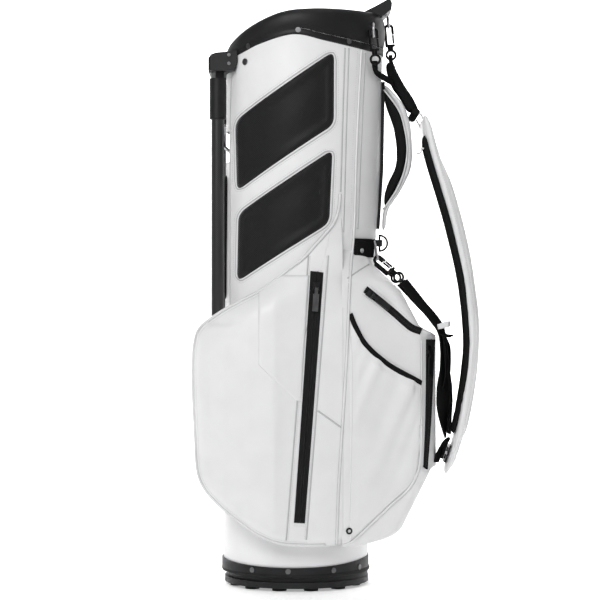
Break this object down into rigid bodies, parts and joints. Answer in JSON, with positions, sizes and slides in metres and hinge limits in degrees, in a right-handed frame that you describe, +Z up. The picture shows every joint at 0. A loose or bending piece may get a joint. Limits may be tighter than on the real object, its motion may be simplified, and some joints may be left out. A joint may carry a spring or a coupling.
{
  "type": "golf stand bag",
  "caption": "Tall oval golf bag with padded cuff, side and ball pockets, folding legs driven by a hinged foot plate, and a double shoulder strap.",
  "frame": {"origin": "on the floor under the middle of the boot", "axes": "+Z up along the bag, +X towards the spine, carry handle and straps, -X towards the legs, -Y the near side"},
  "size_m": [0.4384, 0.2956, 0.9],
  "materials": {
    "white_leather": "satin",
    "pocket_fabric": "satin",
    "black_leather": "satin",
    "black_plastic": "satin",
    "divider_cloth": "matte",
    "stay_fibre": "satin",
    "leg_tube": "gloss",
    "rubber": "matte",
    "pad_mesh": "matte",
    "webbing": "matte",
    "zip_tape": "matte",
    "dark_metal": "gloss",
    "steel": "satin"
  },
  "bodies": {
    "bag": {"ball_pocket": "pocket_fabric", "ball_zip_tapes": "zip_tape", "body_tube": "white_leather", "boot": "black_plastic", "divider_panels": "divider_cloth", "divider_rails": "black_plastic", "far_side_pocket": "pocket_fabric", "grommets": "dark_metal", "handle_lining": "pad_mesh", "handle_shell": "white_leather", "hinge_pins": "steel", "hip_pad": "pad_mesh", "ladder_buckles": "dark_metal", "leg_bracket": "black_plastic", "leg_pivot_pins": "steel", "lift_handle": "black_plastic", "lower_clips": "dark_metal", "mesh_pads": "pad_mesh", "near_side_pocket": "pocket_fabric", "pad_linings": "pad_mesh", "pad_shells": "pocket_fabric", "rivets": "steel", "rod_guides": "black_plastic", "screws": "steel", "side_clip": "dark_metal", "side_zip_tapes": "zip_tape", "slip_bindings": "webbing", "spine_bar": "black_plastic", "stay_rods": "stay_fibre", "strap_anchors": "webbing", "strap_rings": "steel", "strap_webbing": "webbing", "strap_yoke": "webbing", "top_clip": "dark_metal", "top_cuff": "black_leather", "towel_loop": "black_plastic", "valuables_zip_tape": "zip_tape"},
    "foot_plate": {"foot_plate": "black_plastic", "tread_pads": "rubber"},
    "actuator": {"actuator_rod": "steel"},
    "near_leg": {"near_leg_hub": "black_plastic", "near_leg_tube": "leg_tube", "near_leg_foot": "rubber"},
    "far_leg": {"far_leg_hub": "black_plastic", "far_leg_tube": "leg_tube", "far_leg_foot": "rubber"},
    "near_side_zip_slider": {"near_zip_slider": "dark_metal"},
    "near_side_zip_pull": {"near_zip_pull": "dark_metal"},
    "far_side_zip_slider": {"far_zip_slider": "dark_metal"},
    "far_side_zip_pull": {"far_zip_pull": "dark_metal"},
    "ball_zip_slider": {"ball_zip_slider": "dark_metal"},
    "ball_zip_pull": {"ball_zip_pull": "dark_metal"},
    "valuables_zip_slider": {"valuables_zip_slider": "dark_metal"},
    "valuables_zip_pull": {"valuables_zip_pull": "dark_metal"},
    "top_gate": {"top_clip_gate": "dark_metal"},
    "side_gate": {"side_clip_gate": "dark_metal"},
    "near_lower_gate": {"near_lower_gate": "dark_metal"},
    "far_lower_gate": {"far_lower_gate": "dark_metal"},
    "towel_ring": {"towel_ring": "steel"}
  },
  "joints": [
    {"name": "foot_plate_tilt", "type": "hinge", "parent": "bag", "child": "foot_plate", "pos_m": [-0.005, 0, 0.024], "axis": [0, 1, 0], "range_deg": [0, 8]},
    {"name": "actuator_slide", "type": "slide", "parent": "bag", "child": "actuator", "axis": [0, 0, 1], "range_m": [0, 0.013]},
    {"name": "near_leg_swing", "type": "hinge", "parent": "bag", "child": "near_leg", "pos_m": [-0.118, -0.042, 0.8], "axis": [-0.4226, 0.9063, 0], "range_deg": [0, 32.5]},
    {"name": "far_leg_swing", "type": "hinge", "parent": "bag", "child": "far_leg", "pos_m": [-0.118, 0.042, 0.8], "axis": [0.4226, 0.9063, 0], "range_deg": [0, 32.5]},
    {"name": "near_side_zip_slide", "type": "slide", "parent": "bag", "child": "near_side_zip_slider", "axis": [-0.0684, -0.015, -0.9975], "range_m": [0, 0.3]},
    {"name": "near_side_pull_swing", "type": "hinge", "parent": "near_side_zip_slider", "child": "near_side_zip_pull", "pos_m": [0.03209, -0.13872, 0.45501], "axis": [-0.9744, -0.2134, 0.07], "range_deg": [0, 110]},
    {"name": "far_side_zip_slide", "type": "slide", "parent": "bag", "child": "far_side_zip_slider", "axis": [-0.0684, 0.015, -0.9975], "range_m": [0, 0.3]},
    {"name": "far_side_pull_swing", "type": "hinge", "parent": "far_side_zip_slider", "child": "far_side_zip_pull", "pos_m": [0.03209, 0.13872, 0.45501], "axis": [0.9744, -0.2134, -0.07], "range_deg": [0, 110]},
    {"name": "ball_zip_slide", "type": "slide", "parent": "bag", "child": "ball_zip_slider", "axis": [0, 0, -1], "range_m": [0, 0.15]},
    {"name": "ball_pull_swing", "type": "hinge", "parent": "ball_zip_slider", "child": "ball_zip_pull", "pos_m": [0.20522, -0.06704, 0.359], "axis": [-0.5855, -0.8107, 0], "range_deg": [0, 110]},
    {"name": "valuables_zip_slide", "type": "slide", "parent": "bag", "child": "valuables_zip_slider", "axis": [0.7713, 0.2867, -0.5683], "range_m": [0, 0.066]},
    {"name": "valuables_pull_swing", "type": "hinge", "parent": "valuables_zip_slider", "child": "valuables_zip_pull", "pos_m": [0.11572, -0.11441, 0.4447], "axis": [-0.5327, -0.198, -0.8228], "range_deg": [0, 110]},
    {"name": "top_gate_open", "type": "hinge", "parent": "bag", "child": "top_gate", "pos_m": [0.15264, 0, 0.83704], "axis": [0, -1, 0], "range_deg": [0, 15], "stiffness_Nm_per_rad": 0.01},
    {"name": "side_gate_open", "type": "hinge", "parent": "bag", "child": "side_gate", "pos_m": [0.12582, -0.072, 0.82096], "axis": [0, -1, 0], "range_deg": [0, 15], "stiffness_Nm_per_rad": 0.01},
    {"name": "near_lower_gate_open", "type": "hinge", "parent": "bag", "child": "near_lower_gate", "pos_m": [0.14738, -0.04, 0.48948], "axis": [0, -1, 0], "range_deg": [0, 15], "stiffness_Nm_per_rad": 0.01},
    {"name": "far_lower_gate_open", "type": "hinge", "parent": "bag", "child": "far_lower_gate", "pos_m": [0.14738, 0.04, 0.48948], "axis": [0, -1, 0], "range_deg": [0, 15], "stiffness_Nm_per_rad": 0.01},
    {"name": "towel_ring_swing", "type": "hinge", "parent": "bag", "child": "towel_ring", "pos_m": [0.131, 0, 0.526], "axis": [0, 0, 1], "range_deg": [-80, 80]}
  ],
  "couplings": [
    {"joint": "actuator_slide", "follows": "foot_plate_tilt", "m_per_rad": 0.0903},
    {"joint": "near_leg_swing", "follows": "foot_plate_tilt", "ratio": 4},
    {"joint": "far_leg_swing", "follows": "foot_plate_tilt", "ratio": 4}
  ]
}
